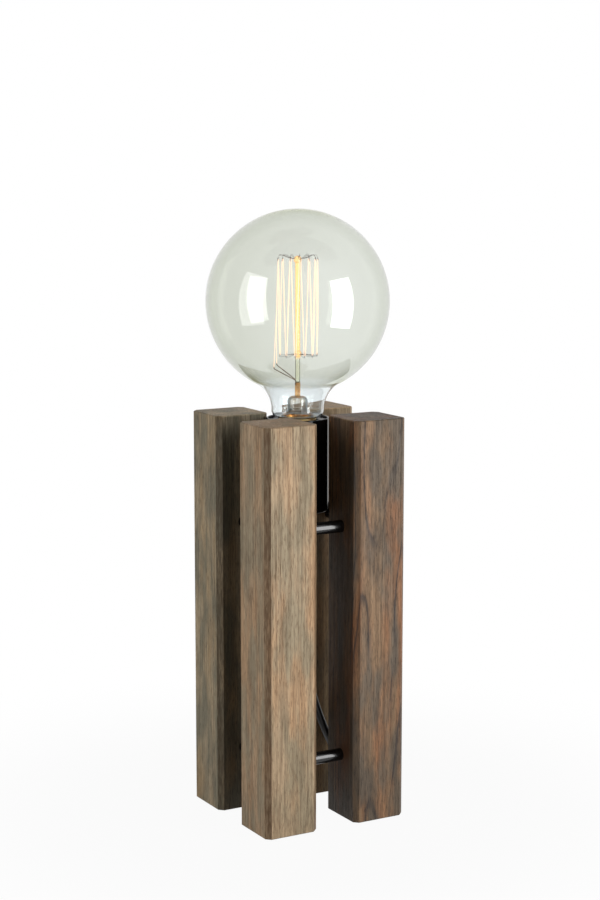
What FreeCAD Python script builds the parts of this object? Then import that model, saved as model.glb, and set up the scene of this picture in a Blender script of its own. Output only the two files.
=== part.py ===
import FreeCAD, Part
import math
import os

from FreeCAD import Rotation, Vector

# Bare bulb table lamp: four square oak posts stand in a two by two square, held apart by short
# black steel rods. A steel strap across two of the upper rods carries a black holder cup, and a
# clear globe bulb with a cage filament is screwed into it. A black cord hangs from the cup, goes
# out between the right and the back post and is put away in a coil behind the lamp.
#
# Millimetres, +Z up. The origin is on the surface that the lamp stands on, on the lamp's axis.
# +X runs from the front post to the right post, +Y from the front post to the left post.

# ---- driving dimensions: posts and rods ----
pad_thickness = 1.5
pad_radius = 11.0
post_width = 40.0
post_height = 280.0
post_gap = 29.0
post_chamfer = 3.5
post_end_chamfer = 0.6
rod_radius = 4.25
rod_seat_depth = 13.0
rod_hole_clearance = 0.05
lower_rod_height = 46.0
upper_rod_height = 207.2

# ---- driving dimensions: strap, nipple and holder ----
strap_width = 12.0
strap_thickness = 3.0
strap_overhang = 7.0
screw_radius = 2.0
screw_head_radius = 3.6
screw_head_height = 2.3
screw_grip = 5.0
nipple_radius = 5.0
nipple_bore_radius = 3.5
thread_clearance = 0.05
cup_radius = 21.6
cup_wall = 1.2
cup_floor = 1.5
cup_height = 64.85
nut_width = 14.0
nut_height = 3.5

# ---- driving dimensions: bulb ----
globe_radius = 63.0
globe_height = 358.9
glass_wall = 0.8
neck_radius = 18.4
neck_flare_radius = 20.0
neck_round_radius = 5.6
neck_round_height = 284.8
thread_pitch = 3.629
cap_core_radius = 12.15
cap_crest_radius = 13.05
shell_crest_radius = 12.45
shell_inner_radius = 13.45
cap_bottom = 256.5
cap_top = 278.3
contact_height = 251.3
cage_radius = 13.6
cage_top = 387.3
cage_bottom = 323.0
cage_hooks = 13
cage_turn = -29.6
filament_radius = 0.2

# ---- driving dimensions: cord, switch and plug ----
cord_radius = 2.7
coil_centre = Vector(26.0, 104.0, cord_radius)
coil_inner_radius = 21.5
coil_turn_pitch = 7.0
coil_layer_rise = 6.6
coil_quarters_in = 12
coil_quarters_out = 11
coil_start_angle = 90.0
switch_length = 70.0
switch_width = 25.0
switch_height = 18.0
switch_centre = Vector(84.0, 68.0, 0.0)
plug_pin_radius = 2.0
plug_pin_length = 19.0
plug_pin_spacing = 18.6
plug_pin_root_radius = 1.5
plug_pin_root_length = 8.0

# ---- places worked out from them ----
post_place = (post_gap + post_width) / 2
post_bottom = pad_thickness
post_top = post_bottom + post_height
strap_bottom = upper_rod_height + rod_radius
strap_top = strap_bottom + strap_thickness
cup_bottom = strap_top
cup_top = cup_bottom + cup_height
holder_bottom = cup_bottom + cup_floor
cord_exit_height = 167.0

UP = Vector(0, 0, 1)
ACROSS = Vector(1, 0, 0)
ALONG = Vector(0, 1, 0)

parts = {}


# ---- shapes used all over ----
def cylinder(radius, bottom, top, x=0.0, y=0.0):
    return Part.makeCylinder(radius, top - bottom, Vector(x, y, bottom), UP)


def block(low, high):
    size = high - low
    return Part.makeBox(size.x, size.y, size.z, low)


def turned(profile):
    """A solid of revolution about the lamp's axis. The profile is a closed list of (radius, height)
    points, where a third value gives a point as the middle of an arc to the next one."""
    edges = []
    points = list(profile) + [profile[0]]
    here = points[0]
    middle = None
    for point in points[1:]:
        if len(point) == 3:
            middle = point
            continue
        start = Vector(here[0], 0, here[1])
        end = Vector(point[0], 0, point[1])
        if middle:
            edges.append(Part.Arc(start, Vector(middle[0], 0, middle[1]), end).toShape())
        else:
            edges.append(Part.makeLine(start, end))
        here = point
        middle = None
    face = Part.Face(Part.Wire(edges))
    return face.revolve(Vector(0, 0, 0), UP, 360)


def arc_middle(centre, radius, start, end):
    """The point halfway along an arc in the profile plane, marked as one. Angles in degrees."""
    angle = math.radians((start + end) / 2)
    return (centre[0] + radius * math.cos(angle), centre[1] + radius * math.sin(angle), "arc")


def hexagon(width, bottom, height):
    corner = width / math.sqrt(3)
    points = []
    for side in range(7):
        angle = math.radians(60 * side)
        points.append(Vector(corner * math.cos(angle), corner * math.sin(angle), bottom))
    return Part.Face(Part.makePolygon(points)).extrude(Vector(0, 0, height))


def bend_radii(points):
    """The radius of the arc at each inner point of a route: 0.45 of the shorter of its two runs,
    divided by the tangent of half the turn."""
    radii = []
    for before, point, after in zip(points, points[1:], points[2:]):
        inwards = point - before
        onwards = after - point
        turn = inwards.getAngle(onwards)
        shorter = min(inwards.Length, onwards.Length)
        radii.append(0.45 * shorter / math.tan(turn / 2))
    return radii


def route_wire(points):
    """Straight runs between the points, joined by tangent arcs."""
    edges = []
    start = points[0]
    for before, point, after in zip(points, points[1:], points[2:]):
        inwards = (point - before).normalize()
        onwards = (after - point).normalize()
        reach = 0.45 * min((point - before).Length, (after - point).Length)
        arc_start = point - inwards * reach
        arc_end = point + onwards * reach
        towards_centre = (onwards - inwards).normalize()
        half_turn = inwards.getAngle(onwards) / 2
        radius = reach / math.tan(half_turn)
        middle = point + towards_centre * (radius / math.cos(half_turn) - radius)
        edges.append(Part.makeLine(start, arc_start))
        edges.append(Part.Arc(arc_start, middle, arc_end).toShape())
        start = arc_end
    edges.append(Part.makeLine(start, points[-1]))
    return Part.Wire(edges)


def swept(path, radius):
    """A round tube along a wire."""
    first = path.OrderedEdges[0]
    start = first.valueAt(first.FirstParameter)
    heading = first.tangentAt(first.FirstParameter)
    ring = Part.Wire(Part.makeCircle(radius, start, heading))
    return path.makePipeShell([ring], True, False)


def tube(points, radius):
    return swept(route_wire(points), radius)


def cord_tube(name, points):
    """A free stretch of cord. Prints what its bends and its volume come to."""
    path = route_wire(points)
    solid = swept(path, cord_radius)
    expected = math.pi * cord_radius**2 * path.Length
    radii = " ".join("%.1f" % radius for radius in bend_radii(points))
    print("%s: %.1f mm long, bend radii %s" % (name, path.Length, radii))
    print("%s: volume over section times length %.4f" % (name, solid.Volume / expected))
    return solid


def compound(solids):
    return Part.makeCompound(solids)


# ---- posts, rods and pads ----
def post(towards_x, towards_y):
    """A square post. towards_x and towards_y give the sides, -1 or 1, that its neighbours are on."""
    centre_x = -towards_x * post_place
    centre_y = -towards_y * post_place
    half = post_width / 2
    low = Vector(centre_x - half, centre_y - half, post_bottom)
    high = Vector(centre_x + half, centre_y + half, post_top)
    solid = block(low, high)
    upright = [edge for edge in solid.Edges if abs(edge.tangentAt(edge.FirstParameter).z) > 0.9]
    solid = solid.makeChamfer(post_chamfer, upright)
    ends = [edge for edge in solid.Edges if abs(edge.tangentAt(edge.FirstParameter).z) < 0.1]
    solid = solid.makeChamfer(post_end_chamfer, ends)
    seat_radius = rod_radius + rod_hole_clearance
    seat_depth = rod_seat_depth + 0.5
    for height in (lower_rod_height, upper_rod_height):
        face_x = Vector(-towards_x * post_gap / 2, centre_y, height)
        face_y = Vector(centre_x, -towards_y * post_gap / 2, height)
        solid = solid.cut(Part.makeCylinder(seat_radius, seat_depth, face_x, ACROSS * -towards_x))
        solid = solid.cut(Part.makeCylinder(seat_radius, seat_depth, face_y, ALONG * -towards_y))
    return solid


def pad(towards_x, towards_y):
    return cylinder(pad_radius, 0, pad_thickness, -towards_x * post_place, -towards_y * post_place)


def rod(middle, direction):
    length = post_gap + 2 * rod_seat_depth
    solid = Part.makeCylinder(rod_radius, length, middle - direction * (length / 2), direction)
    return solid.makeChamfer(0.5, [edge for edge in solid.Edges if edge.Curve.TypeId == "Part::GeomCircle"])


post_sides = {"front": (1, 1), "right": (-1, 1), "back": (-1, -1), "left": (1, -1)}
for side, (towards_x, towards_y) in post_sides.items():
    parts[side + "_post"] = post(towards_x, towards_y)
    parts[side + "_felt_pad"] = pad(towards_x, towards_y)

rod_places = {
    "front": (Vector(0, -post_place, 0), ACROSS),
    "right": (Vector(post_place, 0, 0), ALONG),
    "back": (Vector(0, post_place, 0), ACROSS),
    "left": (Vector(-post_place, 0, 0), ALONG),
}
for level, height in (("lower", lower_rod_height), ("upper", upper_rod_height)):
    for side, (place, direction) in rod_places.items():
        parts[level + "_" + side + "_rod"] = rod(place + UP * height, direction)

# The strap lies on the upper left and upper right rods, and a screw at each end holds it down.
strap_end = post_place + strap_overhang
strap = block(
    Vector(-strap_end, -strap_width / 2, strap_bottom),
    Vector(strap_end, strap_width / 2, strap_top),
)
strap = strap.makeFillet(
    strap_width / 2 - 0.1,
    [edge for edge in strap.Edges if abs(edge.tangentAt(edge.FirstParameter).z) > 0.9],
)
strap = strap.cut(cylinder(nipple_radius + 0.1, strap_bottom, strap_top))
strap_screws = []
for x in (-post_place, post_place):
    strap = strap.cut(cylinder(screw_radius + 0.2, strap_bottom, strap_top, x))
    shank = cylinder(screw_radius, strap_bottom - screw_grip, strap_top, x)
    head = cylinder(screw_head_radius, strap_top, strap_top + screw_head_height, x)
    head = head.makeFillet(0.9, [head.Edges[0]])
    slot = block(
        Vector(x - 4, -0.5, strap_top + screw_head_height - 1.1),
        Vector(x + 4, 0.5, strap_top + screw_head_height + 1),
    )
    strap_screws.append(head.cut(slot).fuse(shank).removeSplitter())
for side, x in (("left", -post_place), ("right", post_place)):
    tapped = cylinder(screw_radius + thread_clearance, strap_bottom - screw_grip - 0.5, strap_bottom, x)
    parts["upper_" + side + "_rod"] = parts["upper_" + side + "_rod"].cut(tapped)
parts["holder_strap"] = strap
parts["strap_screws"] = compound(strap_screws)


# ---- nipple, cup and lamp holder ----
nipple_bottom = 197.5
nipple_top = 226.0
parts["threaded_nipple"] = cylinder(nipple_radius, nipple_bottom, nipple_top).cut(
    cylinder(nipple_bore_radius, nipple_bottom, nipple_top)
)
nut_bore = nipple_radius + thread_clearance
base_floor_top = holder_bottom + 3.0
for name, bottom in (
    ("strap_nut", strap_bottom - nut_height),
    ("holder_nut", base_floor_top),
):
    nut = hexagon(nut_width, bottom, nut_height)
    rounding = cylinder(nut_width / 2 + 0.75, bottom, bottom + nut_height)
    parts[name] = nut.common(rounding).cut(cylinder(nut_bore, bottom, bottom + nut_height))

cup_edge = 0.5
cup_inner = cup_radius - cup_wall
parts["holder_cup"] = turned(
    [
        (nipple_radius + 0.1, cup_bottom),
        (cup_radius - 1.5, cup_bottom),
        arc_middle((cup_radius - 1.5, cup_bottom + 1.5), 1.5, -90, 0),
        (cup_radius, cup_bottom + 1.5),
        (cup_radius, cup_top - cup_edge),
        arc_middle((cup_radius - cup_edge, cup_top - cup_edge), cup_edge, 0, 90),
        (cup_radius - cup_edge, cup_top),
        (cup_inner + cup_edge, cup_top),
        arc_middle((cup_inner + cup_edge, cup_top - cup_edge), cup_edge, 90, 180),
        (cup_inner, cup_top - cup_edge),
        (cup_inner, holder_bottom),
        (nipple_radius + 0.1, holder_bottom),
    ]
)

# The lamp holder inside the cup: a base with the wires, a ceramic contact block and a sleeve.
holder_radius = 19.8
spigot_radius = 18.2
spigot_bottom = 228.0
spigot_top = 236.0
block_radius = 16.1
block_bottom = 232.0
block_top = 243.0
base_inner = 14.8
parts["holder_base"] = turned(
    [
        (nipple_radius + thread_clearance, holder_bottom),
        (holder_radius, holder_bottom),
        (holder_radius, spigot_bottom),
        (spigot_radius, spigot_bottom),
        (spigot_radius, spigot_top),
        (block_radius + 0.1, spigot_top),
        (block_radius + 0.1, block_bottom),
        (base_inner, block_bottom),
        (base_inner, base_floor_top),
        (nipple_radius + thread_clearance, base_floor_top),
    ]
)
sleeve_top = 277.8
sleeve_inner = shell_inner_radius + 0.75
sleeve_lip = 14.1
lip_bottom = 275.6
sleeve_skirt_bottom = block_top + 12.5
parts["holder_sleeve"] = turned(
    [
        (spigot_radius + 0.1, spigot_bottom + 0.05),
        (holder_radius, spigot_bottom + 0.05),
        (holder_radius, sleeve_top - 0.8),
        arc_middle((holder_radius - 0.8, sleeve_top - 0.8), 0.8, 0, 90),
        (holder_radius - 0.8, sleeve_top),
        (sleeve_lip + 0.8, sleeve_top),
        arc_middle((sleeve_lip + 0.8, sleeve_top - 0.8), 0.8, 90, 180),
        (sleeve_lip, sleeve_top - 0.8),
        (sleeve_lip, lip_bottom),
        (sleeve_inner, lip_bottom),
        (sleeve_inner, sleeve_skirt_bottom),
        (sleeve_inner + 1.4, sleeve_skirt_bottom),
        (sleeve_inner + 1.4, lip_bottom),
        (spigot_radius + 0.1, lip_bottom),
    ]
)
terminal_place = 9.5
terminal_radius = 2.6
wire_radius = 0.9
contact_block = cylinder(block_radius, block_bottom + 0.02, block_top)
terminals = []
terminal_screws = []
for x in (-terminal_place, terminal_place):
    contact_block = contact_block.cut(
        cylinder(terminal_radius + 0.05, block_bottom, block_top, x)
    )
    terminal = cylinder(terminal_radius, block_bottom + 1, block_top, x)
    terminal = terminal.cut(cylinder(wire_radius + 0.05, block_bottom + 1, block_bottom + 5, x))
    terminal = terminal.cut(cylinder(1.3, block_top - 5, block_top, x))
    terminals.append(terminal)
    screw = cylinder(1.25, block_top - 4.5, block_top + 0.6, x)
    screw = screw.fuse(cylinder(2.3, block_top + 0.6, block_top + 2.0, x)).removeSplitter()
    terminal_screws.append(screw)
parts["contact_block"] = contact_block
parts["terminals"] = compound(terminals)
parts["terminal_screws"] = compound(terminal_screws)


def helical_ridge(core_radius, crest_radius, half_width, bottom, turns):
    """A helical ridge with a round back. It grows outwards where the crest is the larger radius."""
    outwards = 1 if crest_radius > core_radius else -1
    root = core_radius - outwards * 0.25
    start = Vector(root, 0, bottom - half_width)
    crest = Vector(crest_radius, 0, bottom)
    end = Vector(root, 0, bottom + half_width)
    profile = Part.Wire([Part.Arc(start, crest, end).toShape(), Part.makeLine(end, start)])
    helix = Part.makeHelix(thread_pitch, thread_pitch * turns, core_radius)
    helix.translate(Vector(0, 0, bottom))
    return Part.Wire(helix.Edges).makePipeShell([profile], True, True)


# The screw shell of the holder, with the foot that carries current from the second terminal.
shell_bottom = block_top + 11
shell_top = lip_bottom - 0.6
shell_outer = shell_inner_radius + 0.6
shell_thread_bottom = 258.4
shell_thread_turns = 4
screw_shell = cylinder(shell_outer, shell_bottom, shell_top).cut(
    cylinder(shell_inner_radius, shell_bottom, shell_top)
)
shell_ridge = helical_ridge(
    shell_inner_radius, shell_crest_radius, 1.15, shell_thread_bottom, shell_thread_turns
)
shell_foot = block(
    Vector(-shell_outer, -3, block_top + 0.02), Vector(-shell_outer + 0.55, 3, shell_bottom + 1)
)
foot_tongue = block(
    Vector(-shell_outer, -3, block_top + 0.02), Vector(-terminal_place + 2.8, 3, block_top + 0.57)
)
foot_tongue = foot_tongue.cut(cylinder(1.35, block_top, block_top + 1, -terminal_place))
parts["screw_shell"] = screw_shell.fuse([shell_ridge, shell_foot, foot_tongue]).removeSplitter()

# The centre contact: a bronze tongue from the first terminal, bent up to the bulb's end contact.
tongue_thickness = 0.5
tongue_half_width = 3.0
tongue_floor = block_top + 0.02
tongue_crown = contact_height - 0.02
tongue_outline = [
    (terminal_place + 3.0, tongue_floor),
    (6.0, tongue_floor),
    (0.9, tongue_crown - tongue_thickness),
    (-0.9, tongue_crown - tongue_thickness),
    (-3.2, tongue_crown - 1.7),
    (-3.2, tongue_crown - 1.2),
    (-0.9, tongue_crown),
    (1.15, tongue_crown),
    (6.6, tongue_floor + tongue_thickness),
    (terminal_place + 3.0, tongue_floor + tongue_thickness),
]
tongue_points = [Vector(x, -tongue_half_width, z) for x, z in tongue_outline]
tongue = Part.Face(Part.makePolygon(tongue_points + [tongue_points[0]])).extrude(
    Vector(0, 2 * tongue_half_width, 0)
)
parts["centre_contact"] = tongue.cut(cylinder(1.35, block_top, block_top + 1, terminal_place))

# The end of the cord inside the nipple, and its two wires on their way to the terminals.
cord_tail_top = 224.0
parts["cord_tail"] = cylinder(cord_radius, cord_exit_height, cord_tail_top)
for name, side in (("live_wire", 1), ("neutral_wire", -1)):
    parts[name] = tube(
        [
            Vector(side * 1.2, 0, cord_tail_top),
            Vector(side * 1.2, 0, cord_tail_top + 2.4),
            Vector(side * 4.5, 0, cord_tail_top + 4.4),
            Vector(side * terminal_place, 0, cord_tail_top + 6.6),
            Vector(side * terminal_place, 0, block_bottom + 4.5),
        ],
        wire_radius,
    )

# The cord grip on the lower end of the nipple, its clamping screw, and the tapered relief.
grip_top = strap_bottom - nut_height - 0.5
grip_bottom = 188.0
grip_radius = 7.2
grip = cylinder(grip_radius, grip_bottom, grip_top)
grip = grip.makeFillet(1.0, [grip.Edges[0], grip.Edges[2]])
grip = grip.cut(cylinder(nut_bore, nipple_bottom - 0.5, grip_top))
grip = grip.cut(cylinder(cord_radius + 0.05, grip_bottom, nipple_bottom))
grip_screw_height = 192.6
grip_screw_start = Vector(cord_radius + 0.1, 0, grip_screw_height)
grip = grip.cut(Part.makeCylinder(1.55, grip_radius, grip_screw_start, ACROSS))
parts["cord_grip"] = grip
parts["cord_grip_screw"] = Part.makeCylinder(1.5, grip_radius - 2.9, grip_screw_start, ACROSS)
relief_top_radius = 5.2
relief_end_radius = 3.5
parts["cord_relief"] = Part.makeCone(
    relief_end_radius, relief_top_radius, grip_bottom - cord_exit_height, Vector(0, 0, cord_exit_height), UP
).cut(cylinder(cord_radius + 0.05, cord_exit_height, grip_bottom))


# ---- bulb ----
def glass_outline(inset):
    """The globe's outline from the seal in the cap up to the crown, set in by a distance."""
    flare_centre = (neck_radius + neck_flare_radius, 0.0)
    reach = globe_radius + neck_flare_radius
    flare_height = globe_height - math.sqrt(reach**2 - flare_centre[0] ** 2)
    flare_centre = (flare_centre[0], flare_height)
    flare = neck_flare_radius + inset
    ball = globe_radius - inset
    joint_angle = math.degrees(math.atan2(flare_height - globe_height, flare_centre[0]))
    joint = (
        ball * math.cos(math.radians(joint_angle)),
        globe_height + ball * math.sin(math.radians(joint_angle)),
    )
    corner = neck_round_radius - inset
    corner_centre = (neck_radius - neck_round_radius, neck_round_height)
    seal_radius = 11.3 - inset
    seal_top = neck_round_height - corner
    return [
        (seal_radius, 271.0),
        (seal_radius, seal_top),
        (corner_centre[0], seal_top),
        arc_middle(corner_centre, corner, -90, 0),
        (corner_centre[0] + corner, neck_round_height),
        (neck_radius - inset, flare_height),
        arc_middle(flare_centre, flare, 180, 180 + joint_angle),
        joint,
        arc_middle((0, globe_height), ball, joint_angle, 90),
        (0.0, globe_height + ball),
    ]


parts["bulb_glass"] = turned(glass_outline(0.0) + glass_outline(glass_wall)[::-1])

cap_wall = 0.5
cap_inner = cap_core_radius - cap_wall
bulb_cap = turned(
    [
        (cap_inner - 2.4, cap_bottom),
        (cap_core_radius - 0.6, cap_bottom),
        (cap_core_radius, cap_bottom + 0.8),
        (cap_core_radius, cap_top - 2.6),
        (cap_crest_radius, cap_top - 1.8),
        (cap_crest_radius, cap_top),
        (cap_inner, cap_top),
        (cap_inner, cap_bottom + cap_wall),
        (cap_inner - 2.4, cap_bottom + cap_wall),
    ]
)
cap_thread_bottom = shell_thread_bottom - thread_pitch / 2 + thread_pitch
cap_ridge = helical_ridge(cap_core_radius, cap_crest_radius, 1.3, cap_thread_bottom, 3)
parts["bulb_cap"] = bulb_cap.fuse(cap_ridge).removeSplitter()
tip_radius = 4.6
parts["cap_insulator"] = turned(
    [
        (tip_radius + 0.05, contact_height + 0.9),
        (5.6, contact_height + 0.9),
        (cap_inner - 2.45, cap_bottom - 0.5),
        (cap_inner - 2.45, cap_bottom + cap_wall + 0.02),
        (cap_inner - 0.05, cap_bottom + cap_wall + 0.02),
        (cap_inner - 0.05, cap_bottom + 2.4),
        (1.6, cap_bottom + 2.4),
        (1.6, contact_height + 2.5),
        (tip_radius + 0.05, contact_height + 2.5),
    ]
)
parts["bulb_tip"] = turned(
    [
        (0, contact_height + 2.4),
        (0, contact_height),
        (1.8, contact_height),
        (3.6, contact_height + 0.35),
        (tip_radius, contact_height + 1.2),
        (tip_radius, contact_height + 2.4),
    ]
)

# The stem: a glass flare closed by a pinch, which holds the glass rod and both lead wires.
stem_radius = 7.0
stem_wall = 0.9
stem_bottom = 280.6
stem_shoulder = 290.6
stem_crown = 294.6
stem = turned(
    [
        (11.0, stem_bottom),
        (stem_radius, stem_bottom + 4.4),
        (stem_radius, stem_shoulder),
        arc_middle((stem_radius - 4.0, stem_shoulder), 4.0, 0, 90),
        (stem_radius - 4.0, stem_crown),
        (0, stem_crown),
        (0, stem_crown - stem_wall),
        (stem_radius - 4.0, stem_crown - stem_wall),
        arc_middle((stem_radius - 4.0, stem_shoulder), 4.0 - stem_wall, 90, 0),
        (stem_radius - stem_wall, stem_shoulder),
        (stem_radius - stem_wall, stem_bottom + 4.4 + 0.3),
        (11.0 - stem_wall, stem_bottom),
    ]
)
pinch_top = 303.7
pinch = block(Vector(-1.9, -3.4, stem_crown - 1.2), Vector(1.9, 3.4, pinch_top))
pinch = pinch.makeFillet(0.8, pinch.Edges)
parts["bulb_stem"] = stem.fuse(pinch).removeSplitter()
glass_rod_radius = 1.7
bead_radius = 2.7
glass_rod = cylinder(glass_rod_radius, pinch_top + 0.02, cage_top + 1.2)
for height in (cage_bottom, cage_top):
    glass_rod = glass_rod.fuse(Part.makeSphere(bead_radius, Vector(0, 0, height)))
parts["glass_rod"] = glass_rod.removeSplitter()


def around(radius, angle, height):
    return Vector(
        radius * math.cos(math.radians(angle)), radius * math.sin(math.radians(angle)), height
    )


# The cage: hooks stand out from the two beads, and the filament runs up and down between them.
# Both ends come down on the side that the lead wires reach out to.
lead_side = 180.0
hook_wire_radius = 0.22
hook_step = 360.0 / cage_hooks
top_angles = [lead_side + hook_step * (step + 0.5) for step in range(cage_hooks)]
bottom_angles = [lead_side + hook_step * (step + 1) for step in range(cage_hooks - 1)]


def hooks(angles, height, rise):
    """Wires from a bead out to the cage, each ending in a short upturned or downturned hook."""
    solids = []
    for angle in angles:
        solids.append(
            tube(
                [
                    around(bead_radius - 0.4, angle, height),
                    around(cage_radius - 1.6, angle, height + rise),
                    around(cage_radius - 0.5, angle, height + rise),
                    around(cage_radius - 0.5, angle, height + rise - math.copysign(1.1, rise)),
                ],
                hook_wire_radius,
            )
        )
    return compound(solids)


parts["upper_hooks"] = hooks(top_angles, cage_top, 1.9)
parts["lower_hooks"] = hooks(bottom_angles, cage_bottom, -1.2)

lead_spread = 8.0
first_reach = 16.5
first_end_height = 312.9
second_reach = 14.6
second_end_height = 315.0
filament_points = [around(first_reach, lead_side + lead_spread, first_end_height + 1.0)]
bend_width = 0.5
for step, angle in enumerate(top_angles):
    swing = math.degrees(bend_width / cage_radius)
    filament_points.append(around(cage_radius, angle - swing, cage_top))
    filament_points.append(around(cage_radius, angle + swing, cage_top))
    if step < len(bottom_angles):
        low = bottom_angles[step]
        filament_points.append(around(cage_radius, low - swing, cage_bottom))
        filament_points.append(around(cage_radius, low + swing, cage_bottom))
filament_points.append(around(second_reach, lead_side - lead_spread, second_end_height + 1.0))
parts["filament"] = tube(filament_points, filament_radius)

lead_radius = 0.35
for name, turn, reach, end_height in (
    ("first_lead", lead_spread, first_reach, first_end_height),
    ("second_lead", -lead_spread, second_reach, second_end_height),
):
    sideways = math.copysign(2.3, turn)
    parts[name] = tube(
        [
            Vector(-1.3, -sideways, pinch_top + 0.02),
            Vector(-1.3, -sideways, pinch_top + 1.4),
            around(reach - 1.2, lead_side + turn, end_height - 1.0),
            around(reach, lead_side + turn, end_height + 0.6),
        ],
        lead_radius,
    )

# Screwed home, the bulb comes to rest with its lead wires turned a little towards the left post.
for name in (
    "bulb_stem",
    "glass_rod",
    "upper_hooks",
    "lower_hooks",
    "filament",
    "first_lead",
    "second_lead",
):
    parts[name].rotate(Vector(0, 0, 0), UP, cage_turn)


# ---- in-line switch ----
switch_split = 8.0
switch_wall = 1.8
switch_neck_radius = 4.6
switch_shoulder = switch_length / 2 - 17.0
rocker_reach = 12.0
rocker_width = 11.0
rocker_clearance = 0.3
rocker_axis_height = 12.2
rocker_rest_tilt = 8.0


def switch_body():
    """The closed outline of both housings: a rounded bar that narrows to a neck at each end."""
    sections = []
    for y, half_width, low, high in (
        (-switch_length / 2, switch_neck_radius, 0.0, 10.2),
        (-switch_shoulder, switch_width / 2, 0.0, switch_height),
        (switch_shoulder, switch_width / 2, 0.0, switch_height),
        (switch_length / 2, switch_neck_radius, 0.0, 10.2),
    ):
        corner = min(3.2, half_width * 0.6)
        sections.append(rounded_section(y, half_width, low, high, corner))
    return Part.makeLoft(sections, True, True)


def rounded_section(y, half_width, low, high, corner):
    """A rectangle across the switch with its two upper corners rounded and the lower ones cut."""
    small = 0.8
    left = -half_width
    right = half_width
    bend = corner * (1 - math.sqrt(0.5))
    edges = [
        Part.makeLine(Vector(left + small, y, low), Vector(right - small, y, low)),
        Part.makeLine(Vector(right - small, y, low), Vector(right, y, low + small)),
        Part.makeLine(Vector(right, y, low + small), Vector(right, y, high - corner)),
        Part.Arc(
            Vector(right, y, high - corner),
            Vector(right - bend, y, high - bend),
            Vector(right - corner, y, high),
        ).toShape(),
        Part.makeLine(Vector(right - corner, y, high), Vector(left + corner, y, high)),
        Part.Arc(
            Vector(left + corner, y, high),
            Vector(left + bend, y, high - bend),
            Vector(left, y, high - corner),
        ).toShape(),
        Part.makeLine(Vector(left, y, high - corner), Vector(left, y, low + small)),
        Part.makeLine(Vector(left, y, low + small), Vector(left + small, y, low)),
    ]
    return Part.Wire(edges)


body = switch_body()
cavity = block(
    Vector(-switch_width / 2 + switch_wall, -switch_shoulder + 2, switch_wall),
    Vector(switch_width / 2 - switch_wall, switch_shoulder - 2, switch_height - switch_wall),
)
cord_height = cord_radius + 2.4
cord_channel = Part.makeCylinder(
    cord_radius + 0.05, switch_length, Vector(0, -switch_length / 2, cord_height), ALONG
)
reach = switch_length
below = block(Vector(-reach, -reach, -1), Vector(reach, reach, switch_split))
above = block(Vector(-reach, -reach, switch_split + 0.05), Vector(reach, reach, switch_height + 1))
body = body.cut(cavity).cut(cord_channel)
switch_base = body.common(below)
switch_cover = body.common(above)
pin_centre = Vector(0, 0, rocker_axis_height)
cheek_inner = rocker_width / 2 + rocker_clearance
window = Part.makeCylinder(
    rocker_reach + 0.15, 2 * cheek_inner, pin_centre - ACROSS * cheek_inner, ACROSS
)
switch_cover = switch_cover.cut(window)

# The rocker swings on a steel pin that two cheeks under the cover hold.
pin_radius = 1.2
for side in (-1, 1):
    cheek = block(
        Vector(side * cheek_inner - (1.6 if side < 0 else 0), -3, switch_split + 0.05),
        Vector(side * cheek_inner + (1.6 if side > 0 else 0), 3, switch_height - switch_wall + 0.3),
    )
    switch_cover = switch_cover.fuse(cheek)
pin_length = 2 * (cheek_inner + 1.6)
pin_start = pin_centre - ACROSS * (pin_length / 2)
switch_cover = switch_cover.cut(Part.makeCylinder(pin_radius + 0.02, pin_length, pin_start, ACROSS))
parts["rocker_pin"] = Part.makeCylinder(pin_radius, pin_length, pin_start, ACROSS)

# Its ends are round about the pin, so that they keep their gap to the cover as it tips.
rocker_profile = [
    (-rocker_reach - 1, switch_height - 2.2),
    (-rocker_reach - 1, switch_height + 1.2),
    (0, switch_height + 0.2),
    (rocker_reach + 1, switch_height + 1.2),
    (rocker_reach + 1, switch_height - 2.2),
    (3.0, switch_height - 5.0),
    (2.6, rocker_axis_height - 2.6),
    (-2.6, rocker_axis_height - 2.6),
    (-3.0, switch_height - 5.0),
]
rocker_points = [Vector(-rocker_width / 2, y, z) for y, z in rocker_profile]
rocker = Part.Face(Part.makePolygon(rocker_points + [rocker_points[0]])).extrude(
    Vector(rocker_width, 0, 0)
)
rocker_drum = Part.makeCylinder(
    rocker_reach, rocker_width, pin_centre - ACROSS * (rocker_width / 2), ACROSS
)
rocker = rocker.common(rocker_drum)
rocker_edges = [edge for edge in rocker.Edges if edge.BoundBox.ZMin > switch_height - 0.1]
rocker = rocker.makeChamfer(0.5, rocker_edges)
rocker_bore = Part.makeCylinder(
    pin_radius + 0.05, rocker_width + 2, pin_centre - ACROSS * (rocker_width / 2 + 1), ACROSS
)
rocker = rocker.cut(rocker_bore)
rocker.rotate(pin_centre, ACROSS, rocker_rest_tilt)
parts["switch_rocker"] = rocker

# Inside: a terminal at each side of the break in the switched wire, and a bridge for the other.
contact_posts = []
for y in (-10.0, 10.0):
    contact = block(Vector(-5.0, y - 3, switch_wall + 0.02), Vector(-1.4, y + 3, switch_wall + 4.2))
    contact_posts.append(contact)
parts["switch_contacts"] = compound(contact_posts)
bridge = block(Vector(1.4, -14.0, switch_wall + 0.02), Vector(5.0, 14.0, switch_wall + 3.2))
parts["switch_bridge"] = bridge

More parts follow.
